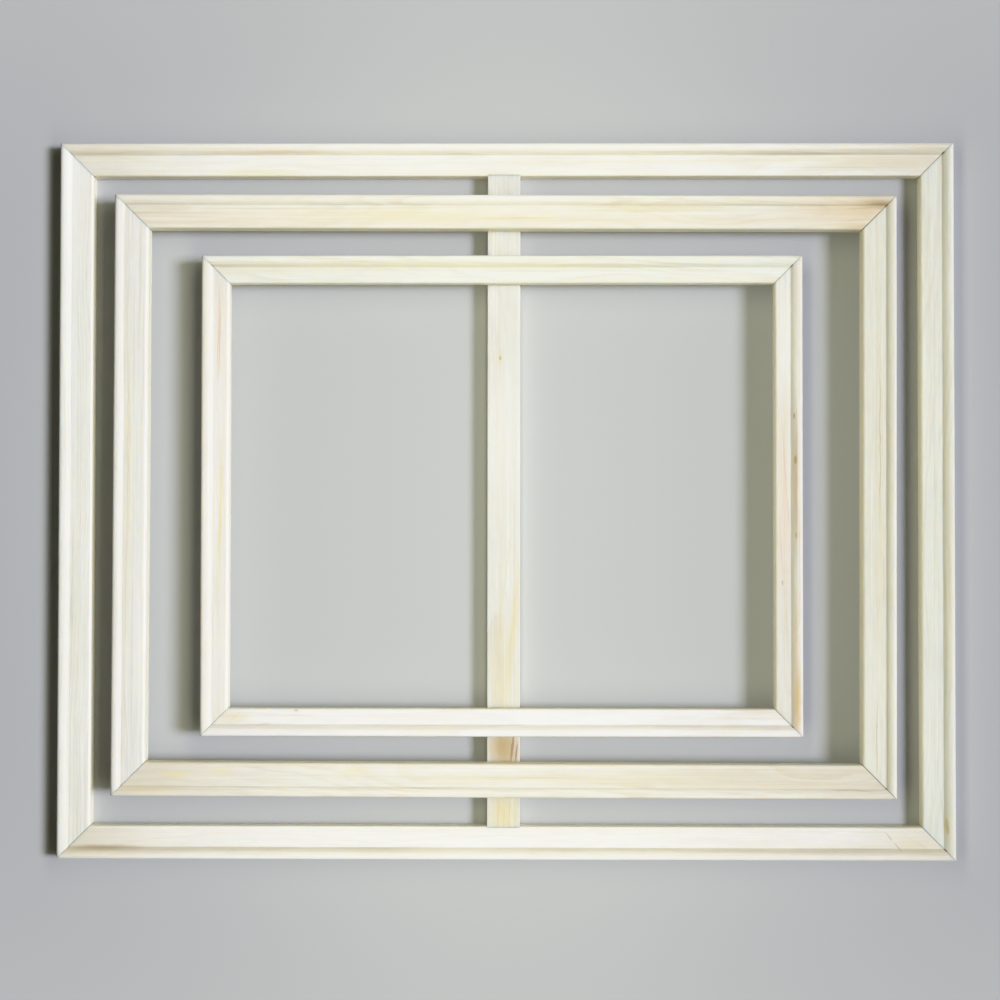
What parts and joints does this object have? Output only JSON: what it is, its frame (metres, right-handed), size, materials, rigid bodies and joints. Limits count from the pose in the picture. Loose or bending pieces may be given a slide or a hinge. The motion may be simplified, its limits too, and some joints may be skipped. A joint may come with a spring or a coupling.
{
  "type": "screen printing frame set",
  "caption": "Nested bare wooden screen printing frames with moulded rails and mitred bridle corners; the outer one has a centre brace, and the inner ones lie loose on it and lift out.",
  "frame": {"origin": "centre of the large frame's flat back, on the plane it rests on", "axes": "+X along the frames' long sides, +Y along their short sides, +Z out of the moulded front, so the set lies face up on the XY plane"},
  "size_m": [0.75, 0.6, 0.0349],
  "materials": {
    "large_frame_wood": "bare sanded softwood, matte",
    "medium_frame_wood": "bare sanded softwood, matte, slightly warmer",
    "small_frame_wood": "bare sanded softwood, matte",
    "brace_wood": "bare sanded softwood, matte, with cathedral grain",
    "fastener_steel": "plain bright corrugated steel"
  },
  "bodies": {
    "large_frame": {"large_top_rail": "large_frame_wood", "large_left_rail": "large_frame_wood", "large_bottom_rail": "large_frame_wood", "large_right_rail": "large_frame_wood", "large_centre_brace": "brace_wood", "large_fastener_top_left_inner": "fastener_steel", "large_fastener_top_left_outer": "fastener_steel", "large_fastener_top_right_inner": "fastener_steel", "large_fastener_top_right_outer": "fastener_steel", "large_fastener_bottom_left_inner": "fastener_steel", "large_fastener_bottom_left_outer": "fastener_steel", "large_fastener_bottom_right_inner": "fastener_steel", "large_fastener_bottom_right_outer": "fastener_steel", "large_fastener_brace_top": "fastener_steel", "large_fastener_brace_bottom": "fastener_steel"},
    "medium_frame": {"medium_top_rail": "medium_frame_wood", "medium_left_rail": "medium_frame_wood", "medium_bottom_rail": "medium_frame_wood", "medium_right_rail": "medium_frame_wood", "medium_fastener_top_left_inner": "fastener_steel", "medium_fastener_top_left_outer": "fastener_steel", "medium_fastener_top_right_inner": "fastener_steel", "medium_fastener_top_right_outer": "fastener_steel", "medium_fastener_bottom_left_inner": "fastener_steel", "medium_fastener_bottom_left_outer": "fastener_steel", "medium_fastener_bottom_right_inner": "fastener_steel", "medium_fastener_bottom_right_outer": "fastener_steel"},
    "small_frame": {"small_top_rail": "small_frame_wood", "small_left_rail": "small_frame_wood", "small_bottom_rail": "small_frame_wood", "small_right_rail": "small_frame_wood", "small_fastener_top_left_inner": "fastener_steel", "small_fastener_top_left_outer": "fastener_steel", "small_fastener_top_right_inner": "fastener_steel", "small_fastener_top_right_outer": "fastener_steel", "small_fastener_bottom_left_inner": "fastener_steel", "small_fastener_bottom_left_outer": "fastener_steel", "small_fastener_bottom_right_inner": "fastener_steel", "small_fastener_bottom_right_outer": "fastener_steel"}
  },
  "joints": [
    {"name": "medium_lift", "type": "slide", "parent": "large_frame", "child": "medium_frame", "axis": [0, 0, 1], "range_m": [0, 0.1]},
    {"name": "small_lift", "type": "slide", "parent": "large_frame", "child": "small_frame", "axis": [0, 0, 1], "range_m": [0, 0.1]}
  ]
}
